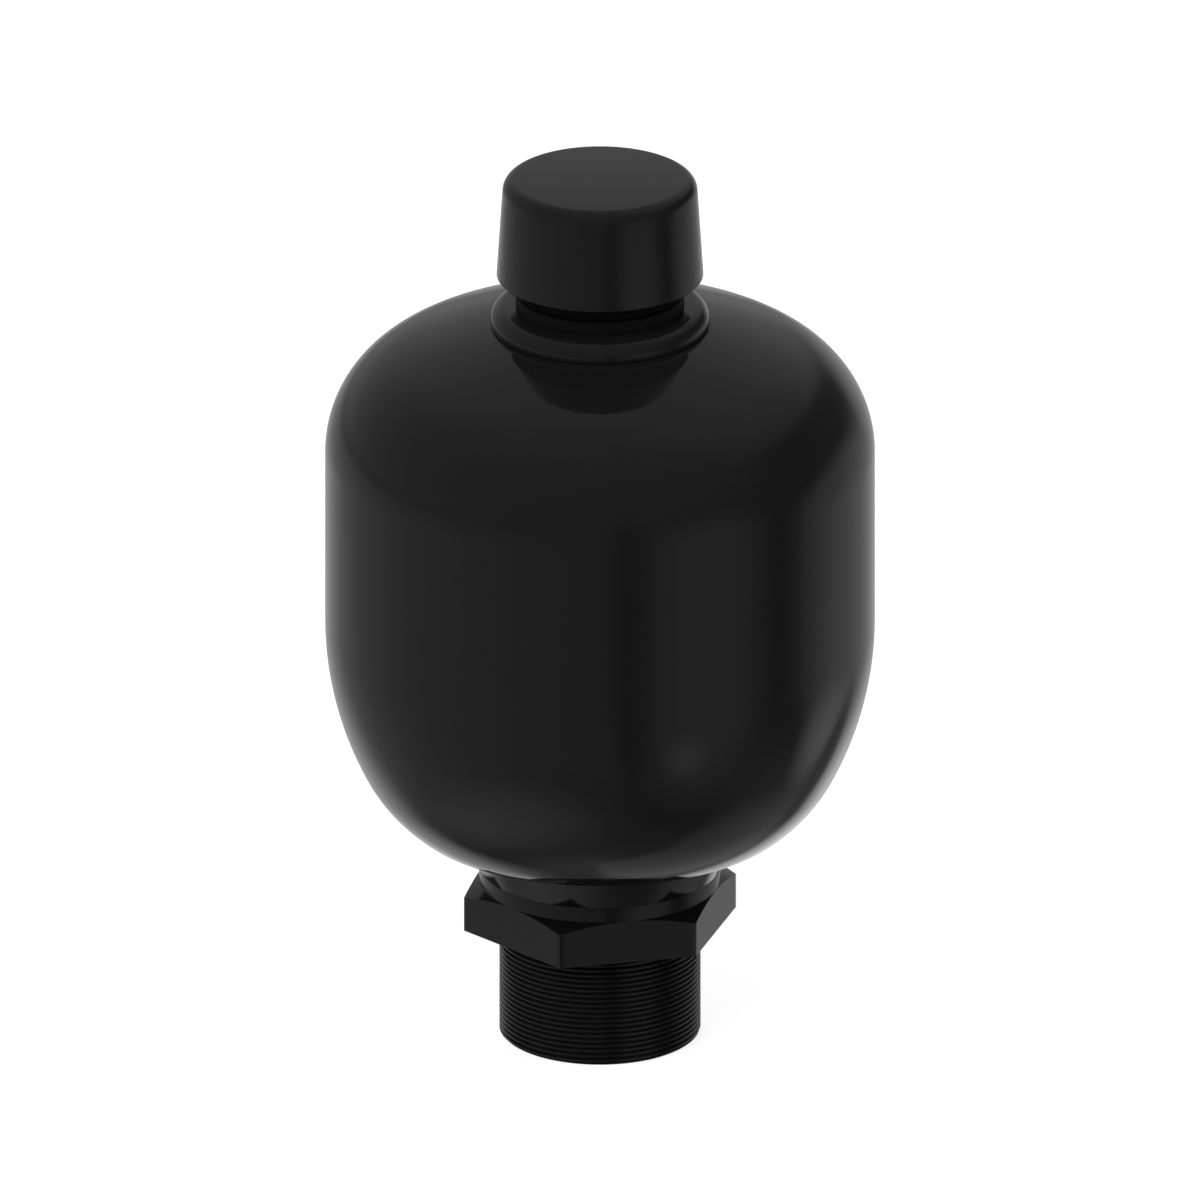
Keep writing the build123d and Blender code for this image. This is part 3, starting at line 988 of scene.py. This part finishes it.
def make_camera():
    camera = bpy.data.objects.new("camera", bpy.data.cameras.new("camera"))
    scene.collection.objects.link(camera)
    towards = turned_direction(view_azimuth, view_elevation)
    camera.data.type = "ORTHO"
    camera.data.ortho_scale = picture_pixels * pixel_size
    camera.location = Vector((0, 0, view_height)) + towards * view_distance
    camera.rotation_euler = (-towards).to_track_quat("-Z", "Y").to_euler()
    scene.camera = camera


def make_floor():
    """A plain pale floor. It shows white where no shadow falls, and nothing from underneath."""
    bm = bmesh.new()
    bmesh.ops.create_grid(bm, x_segments=1, y_segments=1, size=floor_reach)
    floor = make_object("floor", bm)
    floor.visible_glossy = False
    material = bpy.data.materials.new("pale_floor")
    nodes = Nodes(material)
    camera_ray = nodes.add("ShaderNodeLightPath", output="Is Camera Ray")
    matt = nodes.add("ShaderNodeBsdfDiffuse", None, {"Color": (floor_grey, floor_grey, floor_grey, 1)})
    glow = nodes.add(
        "ShaderNodeEmission",
        None,
        {"Color": (1, 1, 1, 1), "Strength": floor_glow * camera_ray},
    )
    pale = nodes.add("ShaderNodeAddShader", None, {0: matt, 1: glow})
    clear = nodes.add("ShaderNodeBsdfTransparent")
    under = nodes.add("ShaderNodeNewGeometry", output="Backfacing")
    shown = nodes.add("ShaderNodeMixShader", None, {0: under, 1: pale, 2: clear})
    nodes.add("ShaderNodeOutputMaterial", None, {"Surface": shown})
    floor.data.materials.append(material)


def soft_screen(nodes, turn, rise, level, screen):
    """The level behind a screen, with the screen's own level where it covers it."""
    azimuth, elevation, half_width, half_height, lean, softness, shade = screen
    lean = math.radians(lean)
    aside = nodes.add("ShaderNodeMath", {"operation": "WRAP"}, {0: turn - azimuth, 1: 180.0, 2: -180.0})
    above = rise - elevation
    across = (aside * math.cos(lean) + above * math.sin(lean)) / half_width
    along = (above * math.cos(lean) - aside * math.sin(lean)) / half_height
    cover = nodes.add(
        "ShaderNodeMapRange",
        {"interpolation_type": "SMOOTHSTEP"},
        {
            "Value": (across * across + along * along) ** 0.5,
            "From Min": 1 + softness,
            "From Max": 1 - softness,
        },
    )
    return level + (shade - level) * cover


def make_world():
    """Grey studio walls with soft screens before them. The view sees white."""
    world = bpy.data.worlds.new("studio")
    scene.world = world
    nodes = Nodes(world)
    front = turned_direction(view_azimuth, 0)
    right = turned_direction(view_azimuth + 90, 0)
    direction = nodes.add("ShaderNodeTexCoord", output="Generated")
    ahead = nodes.add(
        "ShaderNodeVectorMath", {"operation": "DOT_PRODUCT"}, {0: direction, 1: front}, output="Value"
    )
    aside = nodes.add(
        "ShaderNodeVectorMath", {"operation": "DOT_PRODUCT"}, {0: direction, 1: right}, output="Value"
    )
    height = nodes.add("ShaderNodeSeparateXYZ", None, {0: direction}).output("Z")
    turn = nodes.add("ShaderNodeMath", {"operation": "ARCTAN2"}, {0: aside, 1: ahead}) * math.degrees(1)
    rise = nodes.add("ShaderNodeMath", {"operation": "ARCSINE"}, {0: height}) * math.degrees(1)
    stops = [(elevation / 180 + 0.5, shade) for elevation, shade in wall_levels]
    level = nodes.add("ShaderNodeValToRGB", {"stops": stops}, {"Fac": rise / 180 + 0.5})
    for screen in screens:
        level = soft_screen(nodes, turn, rise, level, screen)
    camera_ray = nodes.add("ShaderNodeLightPath", output="Is Camera Ray")
    strength = camera_ray + (1 - camera_ray) * level
    shown = nodes.add("ShaderNodeBackground", None, {"Color": (1, 1, 1, 1), "Strength": strength})
    nodes.add("ShaderNodeOutputWorld", None, {"Surface": shown})


def make_lamp(name, azimuth, elevation, distance, size, power):
    """A large soft lamp that shines at the object's middle."""
    lamp = bpy.data.objects.new(name, bpy.data.lights.new(name, "AREA"))
    scene.collection.objects.link(lamp)
    towards = turned_direction(azimuth, elevation)
    lamp.data.shape = "DISK"
    lamp.data.size = size
    lamp.data.energy = power
    lamp.location = Vector((0, 0, view_height)) + towards * distance
    lamp.rotation_euler = (-towards).to_track_quat("-Z", "Y").to_euler()
    lamp.visible_glossy = False


# The accumulator: each new piece with its body, its material slot and the node that it stands for
finishes = all_finishes()
pieces = [
    (shell(), "shell", "black_paint", "shell"),
    (support_ring(), "shell", "black_paint", "support_ring"),
    # The round nut's darker dull steel is painted shade for the slot under the cap
    (gas_lock_nut(), "shell", "dull_black_steel", "gas_lock_nut"),
    (protective_cap(), "cap", "cap_paint", "protective_cap"),
    (lock_nut(), "shell", "black_steel", "lock_nut"),
    (spacer_ring(), "shell", "black_steel", "spacer_ring"),
    (fluid_port_body(), "shell", "black_steel", "fluid_port_body"),
    (poppet_spring(), "shell", "spring_steel", "poppet_spring"),
    (valve_core_spring(), "shell", "spring_steel", "valve_core_spring"),
]
for piece, body, slot, node in pieces:
    for polygon in piece.data.polygons:
        polygon.use_smooth = True
    piece.data.set_sharp_from_angle(angle=sharp_angle)
    piece.data.materials.clear()
    piece.data.materials.append(finishes[slot])
    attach(piece, body)
    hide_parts(node)

# The nodes that stay as they are take the same finishes
replaced = {node for piece, body, slot, node in pieces}
for subpart in frame["record"]["subparts"]:
    if subpart["node"] not in replaced:
        for material_slot in frame["nodes"][subpart["node"]].material_slots:
            material_slot.material = finishes[subpart["material_slot"]]

make_camera()
make_floor()
make_world()
for name, lamp in lamps.items():
    make_lamp(name, *lamp)
scene.view_settings.view_transform = "Standard"
